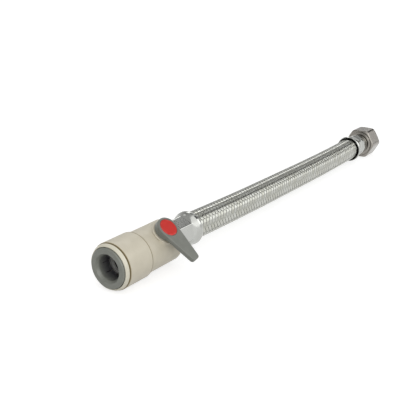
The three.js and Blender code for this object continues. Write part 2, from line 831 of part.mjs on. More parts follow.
// Hose
place(part, 'valve_tail', makeValveTail(), brass);
place(part, 'tail_seal', makeTailSeal(), blackRubber);
place(part, 'valve_ferrule', makeFerrule(valveCrimpLength, 1, valveFerruleX, 0), polishedSteel);
place(part, 'inner_hose', makeHoseTube(linerRadius, linerWall, crimpLiner, linerCrimpWall), blackRubber);
place(part, 'steel_braid', makeHoseTube(braidRadius, braidWall, crimpBraid, braidWall), steelBraid);
place(part, 'nut_ferrule', makeFerrule(nutCrimpLength, -1, nutFerruleX, hoseDrop), polishedSteel);
place(part, 'nut_tail', makeNutTail(), nickelPlate);
place(part, 'swivel_nut', makeNut(), nickelPlate);
place(part, 'nut_washer', makeNutWasher(), blackRubber);

// The origin goes to the middle of the footprint, at the height of the lowest point.
const box = new THREE.Box3().setFromObject(part, true);
const centre = box.getCenter(new THREE.Vector3());
part.position.set(-centre.x, -centre.y, -box.min.z);
part.updateMatrixWorld(true);

export default part;
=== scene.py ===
# %% [markdown]
# # A flexible tap connector with a service valve
# A braided hose joins a copper pipe to a tap. At the low end is a push-fit socket, next to it a ball
# valve with a lever, then 240 mm of steel braid, and a loose nut at the high end. The solids come from
# the CAD model and stay where they are. This lesson puts the finely shaped surfaces and the finishes
# on them. Lengths are in millimetres while a shape is worked out, and go into Blender in metres.

import json
import math

import bmesh
import bpy
import numpy as np
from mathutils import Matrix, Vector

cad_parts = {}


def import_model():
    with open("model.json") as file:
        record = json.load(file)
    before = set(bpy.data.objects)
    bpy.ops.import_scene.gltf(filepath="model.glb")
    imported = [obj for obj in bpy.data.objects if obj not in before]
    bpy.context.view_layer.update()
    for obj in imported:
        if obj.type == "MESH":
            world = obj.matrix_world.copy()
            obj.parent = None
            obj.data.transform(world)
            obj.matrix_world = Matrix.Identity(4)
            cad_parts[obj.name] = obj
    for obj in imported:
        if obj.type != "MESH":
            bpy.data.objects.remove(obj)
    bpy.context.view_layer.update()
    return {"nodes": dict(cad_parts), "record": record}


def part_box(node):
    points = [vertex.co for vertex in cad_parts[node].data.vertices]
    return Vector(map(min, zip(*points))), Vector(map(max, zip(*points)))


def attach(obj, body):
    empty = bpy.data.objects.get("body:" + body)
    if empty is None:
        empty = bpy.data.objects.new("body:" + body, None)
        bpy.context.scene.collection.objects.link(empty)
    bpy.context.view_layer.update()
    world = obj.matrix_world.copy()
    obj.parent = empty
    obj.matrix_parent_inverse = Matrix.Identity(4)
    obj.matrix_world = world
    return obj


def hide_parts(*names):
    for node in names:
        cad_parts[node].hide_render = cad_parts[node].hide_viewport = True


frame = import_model()

# %% [markdown]
# ## Where things are
# Every shape below is written from two places on the real part: the collet's mouth, where x is 0, and
# the valve's own axis, where y and z are 0. The CAD nodes say where that is, so nothing is fitted by
# eye.

# %% Places read from the solids
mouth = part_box("release_collet")[0].x
housing_low, housing_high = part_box("socket_housing")
AXIS = np.array([mouth, (housing_low.y + housing_high.y) / 2, (housing_low.z + housing_high.z) / 2])
nut_low, nut_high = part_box("swivel_nut")
NUT_DROP = ((nut_low.z + nut_high.z) / 2 - AXIS[2]) * 1000
VALVE_FERRULE = (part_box("valve_ferrule")[0].x - mouth) * 1000
NUT_FERRULE = (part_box("nut_ferrule")[1].x - mouth) * 1000


def metres(points):
    """Millimetres from the mouth and the valve's axis, as metres in the row frame."""
    return AXIS + np.asarray(points, float) / 1000


def placed(name, data):
    """A new object of the data, linked into the scene."""
    thing = bpy.data.objects.new(name, data)
    bpy.context.scene.collection.objects.link(thing)
    return thing


print("ferrules close at x =", round(VALVE_FERRULE, 2), "and", round(NUT_FERRULE, 2))

# %% [markdown]
# ## The camera
# The photograph is taken from low on the left, at 19 degrees above the ground, so the camera stands
# there and the hose runs away from it. The place and the lens were worked out from the ends of the
# hose, the ferrules and the socket's rings.

# %% Camera
AZIMUTH, ELEVATION = math.radians(-54.804), math.radians(19.203)
LENS = 64.84
camera_data = bpy.data.cameras.new("camera")
camera_data.lens = LENS
camera_data.sensor_width = 36
camera = placed("camera", camera_data)
camera.location = metres([-265.30, -249.59, 165.75])
camera.rotation_euler = (math.pi / 2 - ELEVATION, 0, AZIMUTH)
bpy.context.scene.camera = camera
print("camera at", [round(v, 3) for v in camera.location])

# %% [markdown]
# ## Surfaces from grids
# Almost every piece here is turned, pressed or moulded round an axis. Such a skin is a grid: one
# parameter goes along the profile and the other goes round. Neighbours in the grid are joined by
# quads. Where the skin comes out inside out, its volume is negative, and all the quads are turned.


# %% From a grid to a mesh
def quads_of(rows, columns, wrap_rows, wrap_columns):
    """Four neighbours of the grid make a quad: (i, j), (i, j+1), (i+1, j+1), (i+1, j)."""
    index = np.arange(rows * columns).reshape(rows, columns)
    if wrap_rows:
        index = np.vstack([index, index[:1]])
    if wrap_columns:
        index = np.hstack([index, index[:, :1]])
    corners = [index[:-1, :-1], index[:-1, 1:], index[1:, 1:], index[1:, :-1]]
    return np.stack(corners, -1).reshape(-1, 4)


def volume(points, faces):
    """A sixth of the sum, over a fan of triangles, of each triangle's triple product."""
    a, b, c = points[faces[:, 0]], points[faces[:, 1:-1]], points[faces[:, 2:]]
    return np.einsum("ik,ijk->", a, np.cross(b, c)) / 6


def make(name, points, faces, caps=(), merge=False, sharp=38):
    """A mesh object of these points, in millimetres, with its faces outwards. sharp is the angle in
    degrees past which an edge stays hard."""
    points = np.asarray(points, float).reshape(-1, 3)
    total = volume(points, faces) + sum(volume(points, np.array([cap])) for cap in caps)
    polygons = faces.tolist() + [list(cap) for cap in caps]
    if total < 0:
        polygons = [polygon[::-1] for polygon in polygons]
    mesh = bpy.data.meshes.new(name)
    mesh.from_pydata(metres(points).tolist(), [], polygons)
    if merge:
        joined = bmesh.new()
        joined.from_mesh(mesh)
        bmesh.ops.remove_doubles(joined, verts=joined.verts, dist=1e-7)
        joined.to_mesh(mesh)
        joined.free()
    mesh.shade_smooth()
    mesh.set_sharp_from_angle(angle=math.radians(sharp))
    print(name, len(mesh.polygons), "faces")
    return placed(name, mesh)


# %% [markdown]
# Real edges are never quite sharp: a thin line of light on them is what makes a moulding or a turned
# ring look real. So the profile's corners get a small radius before it is turned.


# %% Rounded profiles, and turning them
def rounded(corners, steps=4):
    """A closed outline through (along, out, radius) corners. Each corner is replaced by the arc that
    touches both its sides, with one more point on each side that keeps the sides flat."""
    outline = []
    for i, (x, r, radius) in enumerate(corners):
        point = np.array([x, r], float)
        if radius == 0:
            outline.append(point[None])
            continue
        back = np.array(corners[i - 1][:2], float) - point
        onward = np.array(corners[(i + 1) % len(corners)][:2], float) - point
        back, onward = back / np.linalg.norm(back), onward / np.linalg.norm(onward)
        half = math.acos(np.clip(back @ onward, -1, 1)) / 2
        reach = radius / math.tan(half)
        middle = back + onward
        centre = point + middle / np.linalg.norm(middle) * radius / math.sin(half)
        start, end = point + back * reach - centre, point + onward * reach - centre
        first = math.atan2(start[1], start[0])
        swing = (math.atan2(end[1], end[0]) - first + math.pi) % (2 * math.pi) - math.pi
        turn = first + swing * np.linspace(0, 1, steps + 1)
        arc = centre + radius * np.stack([np.cos(turn), np.sin(turn)], -1)
        hold = 0.2 * radius
        outline += [arc[:1] + back * hold, arc, arc[-1:] + onward * hold]
    return np.concatenate(outline)


SIDES = 96


def full_turn(sides=SIDES):
    """Even turns all the way round."""
    return np.linspace(0, 2 * np.pi, sides, endpoint=False)


def about_x(along, out, turn, drop=0.0):
    """Points at distance out from the hose's axis, turn round it from -Y upwards."""
    along, out, turn = np.broadcast_arrays(along, out, turn)
    return np.stack([along, -out * np.cos(turn), drop + out * np.sin(turn)], -1)


def turned(name, corners, sides=SIDES, drop=0.0, start=0.0):
    """A ring turned about the hose's axis from a closed outline of (along, out, radius) corners."""
    outline = rounded(corners)
    points = about_x(start + outline[:, :1], outline[:, 1:], full_turn(sides)[None], drop)
    return make(name, points, quads_of(len(outline), sides, True, True), merge=True)


FIXED = "valve_and_hose"


def ride(piece, body, slot, finish, *nodes):
    """The piece moves with the body, takes its finish, and stands for the nodes."""
    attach(piece, body)
    piece.data.materials.clear()
    piece.data.materials.append(finish)
    if nodes:
        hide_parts(*nodes)
    return piece


# %% [markdown]
# ## Finishes
# Each finish is a small tree of nodes on the Principled shader. A noise texture on the object's own
# coordinates shifts the colour and the roughness a little and lifts the surface by 0.03 mm at most, as
# moulding, plating and handling do. The coordinates are metres, so a noise of scale 400 has blots of
# about 2.5 mm. Most of its values lie between 0.3 and 0.7.


# %% A finish with grain
NOISE_SPAN = (0.3, 0.7)


def linear(*values):
    """Screen values from 0 to 255 as the linear colour that a shader wants."""
    screen = np.array(values) / 255
    return (*np.where(screen <= 0.04045, screen / 12.92, ((screen + 0.055) / 1.055) ** 2.4), 1.0)


def new_finish(name, metallic=0.0, coat=0.0):
    material = bpy.data.materials.new(name)
    material.use_nodes = True
    shader = material.node_tree.nodes["Principled BSDF"]
    shader.inputs["Metallic"].default_value = metallic
    shader.inputs["Coat Weight"].default_value = coat
    return material, material.node_tree, shader


def noise_of(tree, scale, stretch=(1, 1, 1), detail=4):
    """A noise texture on Object coordinates. stretch squeezes it along X, Y and Z, which turns blots
    into brushed lines."""
    place = tree.nodes.new("ShaderNodeTexCoord")
    mapping = tree.nodes.new("ShaderNodeMapping")
    mapping.inputs["Scale"].default_value = stretch
    noise = tree.nodes.new("ShaderNodeTexNoise")
    noise.inputs["Scale"].default_value = scale
    noise.inputs["Detail"].default_value = detail
    tree.links.new(place.outputs["Object"], mapping.inputs["Vector"])
    tree.links.new(mapping.outputs["Vector"], noise.inputs["Vector"])
    return noise.outputs["Fac"]


def ramp_of(tree, factor, stops):
    """A colour ramp over (place, colour) stops."""
    ramp = tree.nodes.new("ShaderNodeValToRGB")
    elements = ramp.color_ramp.elements
    elements[0].position, elements[0].color = stops[0]
    elements[1].position, elements[1].color = stops[-1]
    for place, colour in stops[1:-1]:
        elements.new(place).color = colour
    tree.links.new(factor, ramp.inputs["Fac"])
    return ramp.outputs["Color"]


def feed(tree, entry, value):
    """Links a node's output to the entry, or sets the entry to a plain value."""
    if isinstance(value, bpy.types.NodeSocket):
        tree.links.new(value, entry)
    else:
        entry.default_value = value


def map_range(tree, value, low, high, low_to=0.0, high_to=1.0):
    """Maps low to high onto low_to to high_to, and holds the value past both ends."""
    mapped = tree.nodes.new("ShaderNodeMapRange")
    ends = {"From Min": low, "From Max": high, "To Min": low_to, "To Max": high_to}
    for title, number in ends.items():
        mapped.inputs[title].default_value = number
    tree.links.new(value, mapped.inputs["Value"])
    return mapped.outputs["Result"]


def calculated(tree, operation, *values, clamp=False):
    """One step of arithmetic on values that are numbers or other nodes' outputs."""
    step = tree.nodes.new("ShaderNodeMath")
    step.operation, step.use_clamp = operation, clamp
    for entry, value in zip(step.inputs, values):
        feed(tree, entry, value)
    return step.outputs[0]


def bump_of(tree, shader, height, depth):
    """Lifts the surface by depth metres where height is 1."""
    bump = tree.nodes.new("ShaderNodeBump")
    bump.inputs["Distance"].default_value = depth
    tree.links.new(height, bump.inputs["Height"])
    tree.links.new(bump.outputs["Normal"], shader.inputs["Normal"])


def mixed(tree, factor, first, second, blend="MIX"):
    """Two colours, of which factor says how much of the second, or of the blend of both, shows."""
    mix = tree.nodes.new("ShaderNodeMix")
    mix.data_type, mix.blend_type = "RGBA", blend
    for value, entry in ((factor, "Factor"), (first, "A"), (second, "B")):
        feed(tree, mix.inputs[entry], value)
    return mix.outputs["Result"]


def parts_of(tree, space):
    """The X, Y and Z outputs of a texture coordinate."""
    place = tree.nodes.new("ShaderNodeTexCoord")
    parts = tree.nodes.new("ShaderNodeSeparateXYZ")
    tree.links.new(place.outputs[space], parts.inputs[0])
    return parts.outputs


def along_hose(tree, stops):
    """A share from 0 to 1 that changes with the distance from the mouth: (millimetres, share)."""
    last = stops[-1][0]
    run = map_range(tree, parts_of(tree, "Object")["X"], mouth, mouth + last / 1000)
    return ramp_of(tree, run, [(x / last, (v, v, v, 1)) for x, v in stops])


def grained(name, dark, light, rough, scale, depth, metallic=0.0, coat=0.0, stretch=(1, 1, 1),
            painted_shade=None, stops=()):
    """A finish whose colour and roughness drift between two ends over a broad noise, with a fine noise
    for the grain that light catches. A darker colour of painted shade covers the share that the stops
    along the hose give. The colours are screen values."""
    material, tree, shader = new_finish(name, metallic, coat)
    broad = noise_of(tree, scale / 6, detail=3)
    fine = noise_of(tree, scale, stretch, detail=6)
    colour = ramp_of(tree, broad, list(zip(NOISE_SPAN, (linear(*dark), linear(*light)))))
    # Painted shade: where the stops say, the colour is mixed towards a darker colour that stands for
    # the shade in joints and bores.
    if painted_shade:
        colour = mixed(tree, along_hose(tree, stops), colour, linear(*painted_shade))
    tree.links.new(colour, shader.inputs["Base Color"])
    tree.links.new(map_range(tree, fine, *NOISE_SPAN, *rough), shader.inputs["Roughness"])
    bump_of(tree, shader, fine, depth)
    return material


# %% [markdown]
# ### Plastics
# The socket and valve are moulded in a warm ivory acetal with a satin, faintly waxy skin. The nose ring
# is a little paler. Brown painted shade lines the groove between the nose ring and the housing, and the
# housing's far edge. The collet and lever are a grey grade of the same, and the collet is painted
# darker down in the bore, as painted shade. The disc is red.

# %% Plastics
# The brown below is painted shade, for the groove behind the nose ring and for the housing's far edge.
JOINT_SHADE = (143, 130, 98)
IVORY_LOOK = (203, 196, 177), (212, 205, 187), (0.38, 0.5), 900, 2e-5
IVORY = grained("ivory_plastic", *IVORY_LOOK)
HOUSING = grained(
    "ivory_housing", *IVORY_LOOK, painted_shade=JOINT_SHADE,
    stops=[(0, 1), (4.1, 1), (4.25, 0), (22.35, 0), (22.5, 1), (24, 1)],
)
NOSE = grained(
    "pale_ivory_nose", (216, 211, 192), (223, 218, 200), (0.36, 0.48), 900, 2e-5,
    painted_shade=JOINT_SHADE, stops=[(0, 0), (3.0, 0), (3.1, 1), (24, 1)],
)
GREY = grained("grey_plastic", (117, 119, 112), (126, 128, 121), (0.36, 0.5), 1100, 2e-5)
# The collet's grey darkens from 1.4 mm to 8.5 mm in from the mouth: painted shade down the bore.
BORE_GREY = grained(
    "grey_collet", (121, 123, 115), (130, 132, 124), (0.36, 0.5), 1100, 2e-5,
    painted_shade=(76, 76, 80), stops=[(0, 0), (1.4, 0), (5.5, 0.7), (8.5, 1), (24, 1)],
)
RED = grained("red_plastic", (199, 42, 34), (208, 48, 39), (0.3, 0.38), 900, 2e-6, coat=0.1)
WHITE = grained("white_plastic", (226, 226, 221), (236, 236, 232), (0.4, 0.5), 900, 1e-5)
RUBBER = grained("black_rubber", (27, 27, 28), (38, 38, 39), (0.6, 0.8), 1500, 3e-5)

# %% [markdown]
# ### Metals
# A ferrule is pressed from bright stainless tube, so fine lines run round it. The nut and its tail are
# nickel on brass, a little warm, with the soft ripple that plating has. The ball is chromed and the
# tails inside are bare turned brass.

# %% Metals
STEEL = grained(
    "pressed_steel", (170, 171, 167), (184, 185, 181), (0.12, 0.18), 130, 1.2e-6,
    metallic=1, stretch=(12, 1, 1),
)
NICKEL = grained("nickel_plate", (139, 135, 129), (152, 148, 142), (0.18, 0.26), 420, 6e-6, metallic=1)
CHROME = grained("chromed_brass", (220, 221, 222), (230, 231, 232), (0.05, 0.1), 400, 2e-6, metallic=1)
BRASS = grained(
    "turned_brass", (184, 150, 82), (200, 166, 98), (0.25, 0.4), 130, 6e-6,
    metallic=1, stretch=(12, 1, 1),
)
# The teeth's dark grey is partly the steel's own tone and partly painted shade of the bore they sit in.
STEEL_PLAIN = grained("spring_steel", (84, 85, 87), (98, 99, 101), (0.4, 0.6), 700, 4e-6, metallic=1)

# %% [markdown]
# ### Braid wire
# The braid's own map says how high each wire lies in the weave. Wires that dive under, the grooves
# between wires and each bundle's edges are painted darker, as painted shade, and no two bundles are
# drawn quite alike, so each has its own tint. Both numbers are attributes of the mesh.


# %% Braid finish
# height darkens the wires that dive under, the grooves between wires and the bundles' edges: painted
# shade. tint is each bundle's own tone.
WIRE_SHADE_AND_TINT = {
    "height": [(0, linear(44, 44, 41)), (0.2, linear(92, 93, 88)), (1, linear(196, 197, 191))],
    "tint": [(0, linear(240, 239, 234)), (1, linear(255, 255, 255))],
}
WIRE_ROUGH = (0.12, 0.26)


def braid_finish():
    material, tree, shader = new_finish("braid_wire", metallic=1.0)
    layers = []
    for title, stops in WIRE_SHADE_AND_TINT.items():
        attribute = tree.nodes.new("ShaderNodeAttribute")
        attribute.attribute_name = title
        layers.append(ramp_of(tree, attribute.outputs["Fac"], stops))
    colour = mixed(tree, 1.0, *layers, "MULTIPLY")
    tree.links.new(colour, shader.inputs["Base Color"])
    scratch = noise_of(tree, 2500, detail=3)
    tree.links.new(map_range(tree, scratch, *NOISE_SPAN, *WIRE_ROUGH), shader.inputs["Roughness"])
    bump_of(tree, shader, scratch, 4e-6)
    return material


BRAID = braid_finish()
print("finishes:", len(bpy.data.materials))

# %% [markdown]
# ## The hose
# Inside is a rubber liner, and over it a braid of 24 flat bundles of wire: 12 wind one way and 12 the
# other, each over two and under two of the others. So in turn one set and then the other shows, in
# rows of short slanting strokes along the hose, 3.3 mm apart as in the photograph. It could be a bump
# map, but a bump has no outline and no shadow, so here every bundle is a ribbon of six wires that
# really weaves.
#
# The hose leaves the valve level and sinks to the height of the nut, whose middle is 2.2 mm lower.
# On its way it sags by 0.7 mm more.

# %% The hose's line and width
HOSE_LENGTH, CUT_END = 286.2, 1.1
HOSE_STRAIGHT = 27.0
SINKING = np.array([
    [0, 0], [0.06, 0.22], [0.12, 0.42], [0.2, 0.64], [0.3, 0.86], [0.41, 1], [0.51, 1.12],
    [0.64, 1.28], [0.77, 1.33], [0.88, 1.27], [0.95, 1.13], [1, 1],
])
BRAID_OUT, BRAID_CRIMPED = 9.0, 7.35
CRIMP, BELL, BELL_FULL, EARLY = 16.9, 6.4, 0.6, 1.5


def hose_height(x):
    """How high the hose's middle lies at x from the valve ferrule's end: level, then sinking along the
    chain of shares, then level. The chain is averaged over 16 mm, which rounds its corners."""
    line = np.linspace(-20, HOSE_LENGTH + 20, 1291)
    share = (line - HOSE_STRAIGHT) / (HOSE_LENGTH - 2 * HOSE_STRAIGHT)
    chain = NUT_DROP * np.interp(share, SINKING[:, 0], SINKING[:, 1])
    window = np.hanning(65)
    soft = np.convolve(np.pad(chain, 32, "edge"), window / window.sum(), "valid")
    return np.interp(x, line, soft)


def hose_width(x, full, crimped):
    """The tube's radius at x: crimped inside both ferrules, and swelling to full by a smooth step,
    from a little before their bells."""
    end = np.minimum(x, HOSE_LENGTH - x)
    swell = np.clip((end - CRIMP + EARLY) / (BELL_FULL * BELL + EARLY), 0, 1)
    return crimped + (full - crimped) * swell * swell * (3 - 2 * swell)


# %% [markdown]
# A bundle winds round the hose at an even pace and meets one of the other set at every half spacing.
# It stays on top for two crossings and below for two, and a clipped cosine carries it from one level
# to the other. Across it, each wire has a top and two slopes. Their edges stay hard, so that a wire
# mirrors three directions: that is what makes one set flash where the other is dark.

# %% The bundles of one set
BUNDLES = 12
SPACING = 3.27
WIRES = 6
BUNDLE_WIDTH = 2.48
WEAVE_DEPTH, WIRE_RIDGE, BRAID_SKIN = 0.27, 0.02, 0.05
ROW_TURN = 3
seed = np.random.default_rng(7)


def bundle_set(name, sense):
    """Bundle i of a set is at turn = sense * 2 pi * x / lead + 2 pi i / 12. Crossing k is at x = k *
    spacing / 2, where bundle i meets bundle i + k of the other set. The right-hand set is on top
    where the sum of both numbers, and of a start, is 0 or 1 of every 4, and the other set elsewhere.
    Across, at share u from -1 to 1, each wire is a slope up, a flat top and a slope down."""
    lead = BUNDLES * SPACING
    first, last = CUT_END, HOSE_LENGTH - CUT_END
    step = SPACING / 4
    x = np.arange(math.ceil(first / step), math.floor(last / step) + 1) * step
    crossing = 2 * x / SPACING
    i = np.arange(BUNDLES)[:, None]
    sum_of_both = 2 * i + sense * crossing[None] + ROW_TURN
    wave = np.clip(1.41 * np.cos((sum_of_both - 0.5) * np.pi / 2), -1, 1)
    on_top = 0.5 + 0.5 * sense * wave
    turn = sense * 2 * np.pi * x[None] / lead + 2 * np.pi * i / BUNDLES
    columns = 3 * WIRES + 1
    across = np.linspace(-1, 1, columns)
    ridge = np.where(np.arange(columns) % 3 > 0, 1.0, 0.0)
    inner = np.where(abs(across) < 0.99, BRAID_SKIN, 0.0)
    slant = math.atan(2 * np.pi * BRAID_OUT / lead)
    side_x = -sense * math.sin(slant) * BUNDLE_WIDTH / 2
    side_turn = math.cos(slant) * BUNDLE_WIDTH / 2 / BRAID_OUT
    out = hose_width(x, BRAID_OUT, BRAID_CRIMPED)[None]
    level = out - BRAID_SKIN - WIRE_RIDGE - WEAVE_DEPTH * (1 - on_top)
    px = x[None, :, None] + side_x * across + 0 * level[..., None]
    pt = turn[..., None] + side_turn * across
    pr = level[..., None] + inner + WIRE_RIDGE * ridge
    points = about_x(VALVE_FERRULE + px, pr, pt)
    points[..., 2] += hose_height(px)
    rows = len(x)
    grid = quads_of(rows, columns, False, True)
    index = np.arange(rows * columns).reshape(rows, columns)
    shift = rows * columns
    faces = np.concatenate([grid + k * shift for k in range(BUNDLES)])
    caps = [cap + k * shift for k in range(BUNDLES) for cap in (index[0, ::-1], index[-1])]
    piece = make(name, points, faces, caps, sharp=180)
    ends = np.empty(2 * len(piece.data.edges), np.int32)
    piece.data.edges.foreach_get("vertices", ends)
    piece.data.edges.foreach_set("use_edge_sharp", abs(ends[0::2] - ends[1::2]) == columns)
    # Painted shade: a low height darkens under-lying wires, the grooves between wires and each bundle's
    # edges.
    height = 0.2 + 0.5 * on_top[..., None] + 0.3 * ridge
    height[..., [0, -1]] = 0.0
    tint = np.broadcast_to(seed.random(BUNDLES)[:, None, None], height.shape)
    for title, values in (("height", height), ("tint", tint)):
        attribute = piece.data.attributes.new(title, "FLOAT", "POINT")
        attribute.data.foreach_set("value", np.ascontiguousarray(values, np.float32).ravel())
    return piece, np.stack([VALVE_FERRULE + x, 0 * x, hose_height(x)], -1)


braid_right, centreline = bundle_set("braid_right_hand", 1)
braid_left, _ = bundle_set("braid_left_hand", -1)
ride(braid_right, FIXED, "steel_braid", BRAID, "steel_braid")
ride(braid_left, FIXED, "steel_braid", BRAID)

# %% [markdown]
# The liner only shows as dark specks between the bundles and in the gap at the ferrules' mouths, but it
# stops light from shining through the weave.


# %% Rubber liner
LINER_SIDES = 48


def liner():
    """A tube: the width follows the braid's from inside, and the two ends turn over onto the bore."""
    end = np.arange(CUT_END, 26, 0.8)
    x = np.concatenate([end, np.arange(27, HOSE_LENGTH - 27, 4.0), HOSE_LENGTH - end[::-1]])
    outside = hose_width(x, 8.5, 6.85)
    inside = hose_width(x, 6.7, 5.5)
    along = np.concatenate([x, x[::-1]])
    out = np.concatenate([outside, inside[::-1]])
    points = about_x(VALVE_FERRULE + along[:, None], out[:, None], full_turn(LINER_SIDES)[None])
    points[..., 2] += hose_height(along)[:, None]
    return make("rubber_liner", points, quads_of(len(along), LINER_SIDES, True, True))


tube = ride(liner(), FIXED, "black_rubber", RUBBER, "inner_hose")

# %% [markdown]
# ## Crimped ferrules
# A ferrule starts as a plain steel cup. A press squeezes its closed end to a hexagon round the hose,
# and the open end stays round and flares to a short bell, whose rim curls in. So its radius has one
# formula for all places: the smaller of the round form and of the six flats, and the flats move out of
# the way where the bell begins. A soft minimum joins the two, as bent metal does. The nut's ferrule
# has a rounder closed end than the valve's.


# %% Soft forms
def soft_minimum(values, softness):
    """Minus the softness times the logarithm of the sum of exp(-value / softness): the smaller value,
    with the crossing rounded."""
    values = np.stack(np.broadcast_arrays(*values))
    low = values.min(0)
    return low - softness * np.log(np.exp(-(values - low) / softness).sum(0))


def flats_of(turn, apothem, first, softness):
    """The radius of a hexagon at each turn: the soft minimum of six flats, each at apothem over the
    cosine of the angle from its middle."""
    middles = first + np.arange(6).reshape(-1, 1, 1) * np.pi / 3
    cosine = np.maximum(np.cos(turn - middles), 0.2)
    return soft_minimum(apothem / cosine, softness)


def eased(x, corners, run):
    """A chain of straight lines through the corners, averaged over a run, which rounds its corners."""
    corners = np.array(corners)
    line = np.linspace(corners[0, 0] - run, corners[-1, 0] + run, 1200)
    count = max(3, int(run / (line[1] - line[0])))
    window = np.hanning(count + 2)[1:-1]
    chain = np.interp(line, corners[:, 0], corners[:, 1])
    soft = np.convolve(np.pad(chain, count, "edge"), window / window.sum(), "same")[count:-count]
    return np.interp(x, line, soft)


# %% A ferrule
CRIMP_FLAT, CRIMP_ROUND, FERRULE_WALL, FERRULE_END = 8.3, 9.55, 0.5, 0.8
CRIMP_TURN = math.radians(12)
LIP = 0.25


def ferrule(name, facing, start, drop, edge, shoulder, softness):
    """Outside radius at (x, turn): the soft minimum of the bell's round form and the six flats. The
    closed end is rounded over by edge, and from shoulder on the flats are at their full depth. The
    grid's rows go out over the closed end, along the outside, over the rolled lip and back inside."""
    length = CRIMP + BELL
    shape = [
        [0, 8.75], [shoulder, CRIMP_ROUND], [CRIMP, CRIMP_ROUND], [CRIMP + 0.28 * BELL, 10.0],
        [CRIMP + 0.55 * BELL, 10.8], [CRIMP + 0.8 * BELL, 11.05], [length, 10.6],
    ]
    fade = [
        [0, 8.7], [shoulder - 3, 8.9], [shoulder + 0.5, CRIMP_FLAT], [CRIMP - 0.7, CRIMP_FLAT],
        [CRIMP + 0.61 * BELL, 11.9], [length, 14],
    ]
    turn = full_turn(144)[None]

    def outside(x):
        x = x[:, None]
        bend = np.clip(1 - x / edge, 0, 1)
        flats = flats_of(turn, eased(x, fade, 1.0), CRIMP_TURN, softness)
        both = soft_minimum([eased(x, shape, 1.0) + 0 * turn, flats], 0.06)
        return both - edge * (1 - np.sqrt(1 - bend**2))

    along = np.concatenate([
        edge * (1 - np.cos(np.linspace(0, np.pi / 2, 12))), np.linspace(edge + 0.3, CRIMP - 1.5, 24),
        np.linspace(CRIMP - 1.2, length - LIP, 52),
    ])
    skin = outside(along)
    roll = np.linspace(0, np.pi, 9)[1:-1, None]
    lip_along = length - LIP + LIP * np.sin(roll[:, 0])
    lip = skin[-1:] - LIP + LIP * np.cos(roll)
    back = np.linspace(length - LIP, FERRULE_END, 40)
    inner = outside(np.maximum(back, CUT_END)) - FERRULE_WALL
    hole = np.full((1, turn.size), 6.9)
    rows_along = np.concatenate([[FERRULE_END, 0.06, 0, 0], along, lip_along, back])
    rows_out = np.concatenate([hole, hole, hole + 0.06, (hole + skin[:1]) / 2, skin, lip, inner])
    points = about_x(start + facing * rows_along[:, None], rows_out, turn, drop)
    return make(name, points, quads_of(len(rows_along), turn.size, True, True), sharp=50)


# %% [markdown]
# Each ferrule has a small sight hole in one of its flats, where the fitter can see that the hose is
# pushed home. It is drilled with a boolean cut, and the cutter is thrown away.


# %% Sight holes
def bored(piece, centre, outward, radius):
    """Drills a round hole at centre, along outward, and throws the cutter away."""
    outward = np.array(outward, float) / np.linalg.norm(outward)
    side = np.cross(outward, [1.0, 0, 0])
    side /= np.linalg.norm(side)
    turn = full_turn(24)[None, :, None]
    ring = radius * (np.cos(turn) * side + np.sin(turn) * np.cross(outward, side))
    points = np.array(centre) + np.array([-4.0, 4.0])[:, None, None] * outward + ring
    ends = [np.arange(24)[::-1], np.arange(24, 48)]
    cutter = make("cutter", points, quads_of(2, 24, False, True), ends)
    cut = piece.modifiers.new("drill", "BOOLEAN")
    cut.operation, cut.solver, cut.object = "DIFFERENCE", "EXACT", cutter
    graph = bpy.context.evaluated_depsgraph_get()
    drilled = bpy.data.meshes.new_from_object(piece.evaluated_get(graph))
    piece.modifiers.clear()
    plain, piece.data = piece.data, drilled
    drilled.name = plain.name
    bpy.data.meshes.remove(plain)
    bpy.data.objects.remove(cutter)
    piece.data.set_sharp_from_angle(angle=math.radians(50))


SIGHT_TURN, SIGHT_PLACE = math.radians(192), CRIMP - 5.4
SIGHT = np.array([0, -math.cos(SIGHT_TURN), math.sin(SIGHT_TURN)])
SIGHT_RADIUS = 0.8
for name, node, facing, start, drop, edge, shoulder, softness in (
    ("valve_crimp_ferrule", "valve_ferrule", 1, VALVE_FERRULE, 0, 1.6, 3.1, 0.05),
    ("nut_crimp_ferrule", "nut_ferrule", -1, NUT_FERRULE, NUT_DROP, 2.2, 11, 0.3),
):
    piece = ferrule(name, facing, start, drop, edge, shoulder, softness)
    bored(piece, 10 * SIGHT + [start + facing * SIGHT_PLACE, 0, drop], SIGHT, SIGHT_RADIUS)
    ride(piece, FIXED, "polished_steel", STEEL, node)

# %% [markdown]
# ## The swivel nut
# The nut is cut from hexagon bar, so its outside is the soft minimum of six flats, and of the cone that
# a lathe leaves at each end. Inside is a half inch pipe thread: a groove that climbs 1.814 mm a turn,
# so its depth depends on how far along and how far round a place is. A shallow ring is cut into its
# back face.


# %% Nut with its thread
def crowded_turns(per_side):
    """Turns round a hexagon, crowded towards its corners by a sine, where the shape bends most."""
    share = np.sin(np.linspace(-1, 1, per_side, endpoint=False) * np.pi / 2)
    middles = -np.pi / 2 + np.arange(6)[:, None] * np.pi / 3
    return (middles + share * np.pi / 6).ravel()[None]


